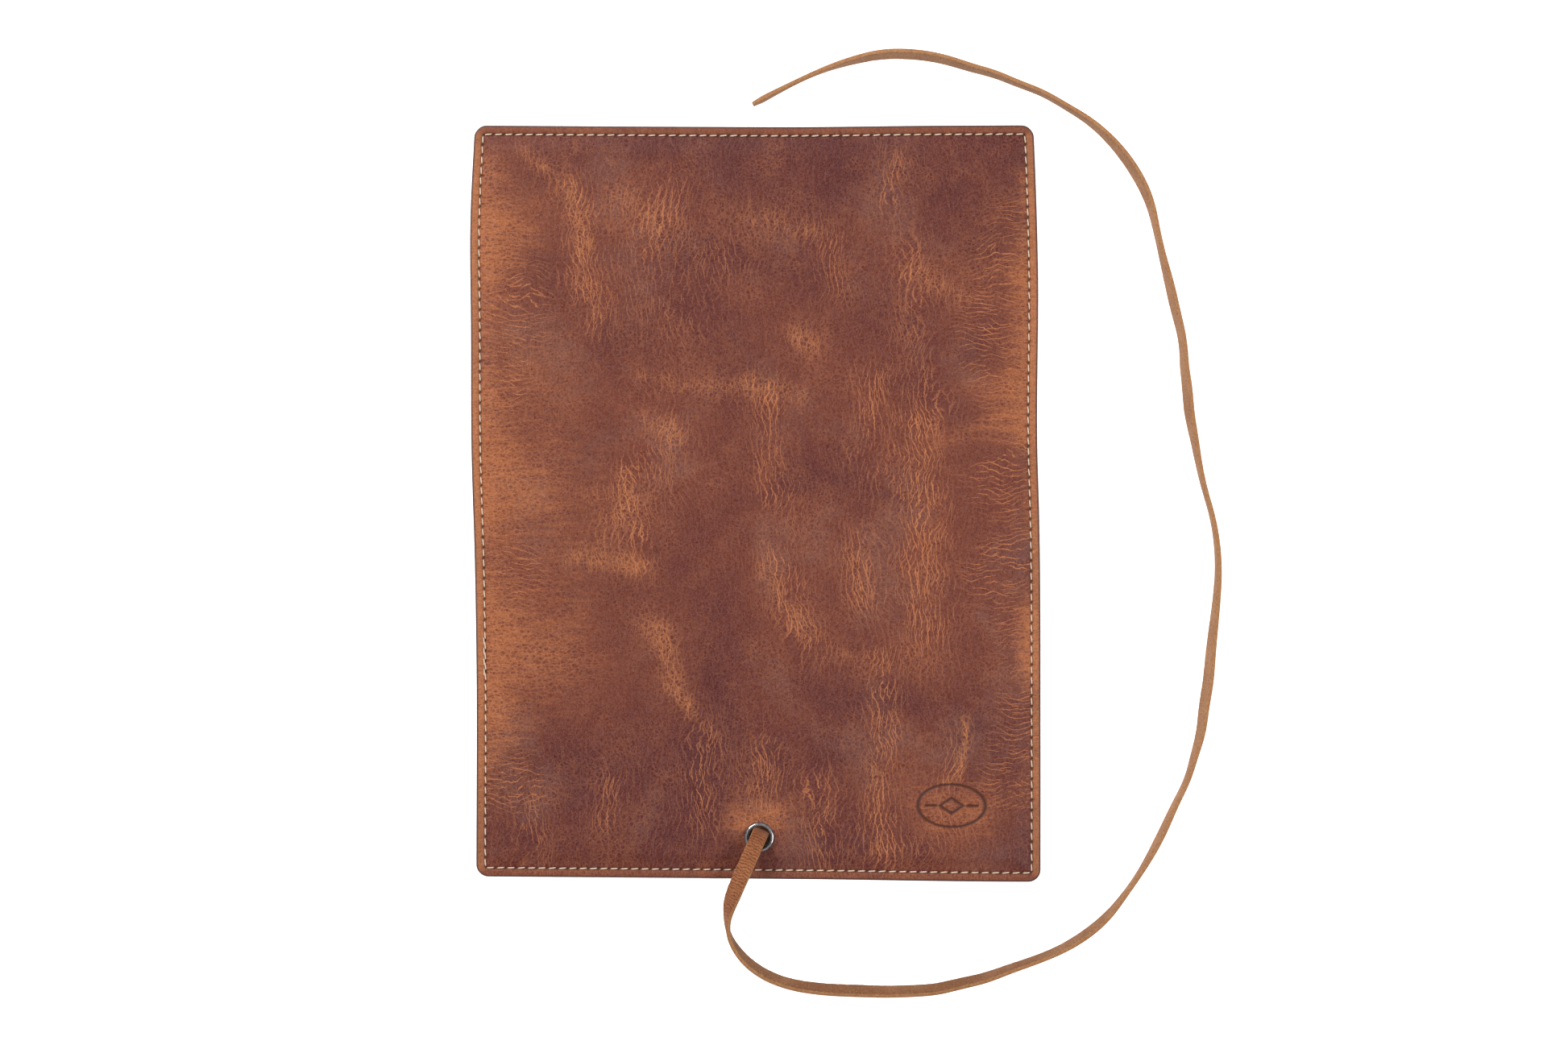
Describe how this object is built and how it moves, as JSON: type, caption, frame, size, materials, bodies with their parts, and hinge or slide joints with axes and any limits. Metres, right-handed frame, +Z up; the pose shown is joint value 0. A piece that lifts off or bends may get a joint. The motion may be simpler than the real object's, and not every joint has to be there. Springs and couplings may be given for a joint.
{
  "type": "notebook cover",
  "caption": "Soft leather cover for a notebook, open flat: stitched edge, inner sleeves, spine with creases, and a flat tie strap that leaves an eyelet.",
  "frame": {"origin": "middle of the footprint of the cover, opened flat with its outer face up, on the surface it lies on", "axes": "+X along the spine, +Y from the strap's half to the other half, +Z up, out of the outer face"},
  "size_m": [0.2907, 0.3699, 0.0177],
  "materials": {
    "outer_leather": "waxed pull-up leather, red-brown with rubbed orange patches",
    "strap_leather": "unfinished suede side, tan, with lighter cut edges",
    "sleeve_leather": "smooth waxed brown",
    "lining": "woven cotton twill",
    "interlining": "needled felt",
    "thread": "twisted polyester, cream",
    "eyelet_metal": "dark nickel plate"
  },
  "bodies": {
    "front": {"front_outer_leather": "outer_leather", "front_interlining": "interlining", "front_lining": "lining", "front_sleeve": "sleeve_leather", "front_needle_thread": "thread", "front_bobbin_thread": "thread", "eyelet": "eyelet_metal", "eyelet_washer": "eyelet_metal", "strap_tail": "strap_leather", "tie_strap": "strap_leather"},
    "spine": {"spine_outer_leather": "outer_leather", "spine_interlining": "interlining", "spine_lining": "lining", "spine_needle_thread": "thread", "spine_bobbin_thread": "thread"},
    "back": {"back_outer_leather": "outer_leather", "back_interlining": "interlining", "back_lining": "lining", "back_sleeve": "sleeve_leather", "back_needle_thread": "thread", "back_bobbin_thread": "thread"}
  },
  "joints": [
    {"name": "front_crease", "type": "hinge", "parent": "front", "child": "spine", "pos_m": [0, -0.007, 0.0012], "axis": [-1, 0, 0], "range_deg": [0, 90]},
    {"name": "back_crease", "type": "hinge", "parent": "spine", "child": "back", "pos_m": [0, 0.007, 0.0012], "axis": [-1, 0, 0], "range_deg": [0, 90]}
  ]
}
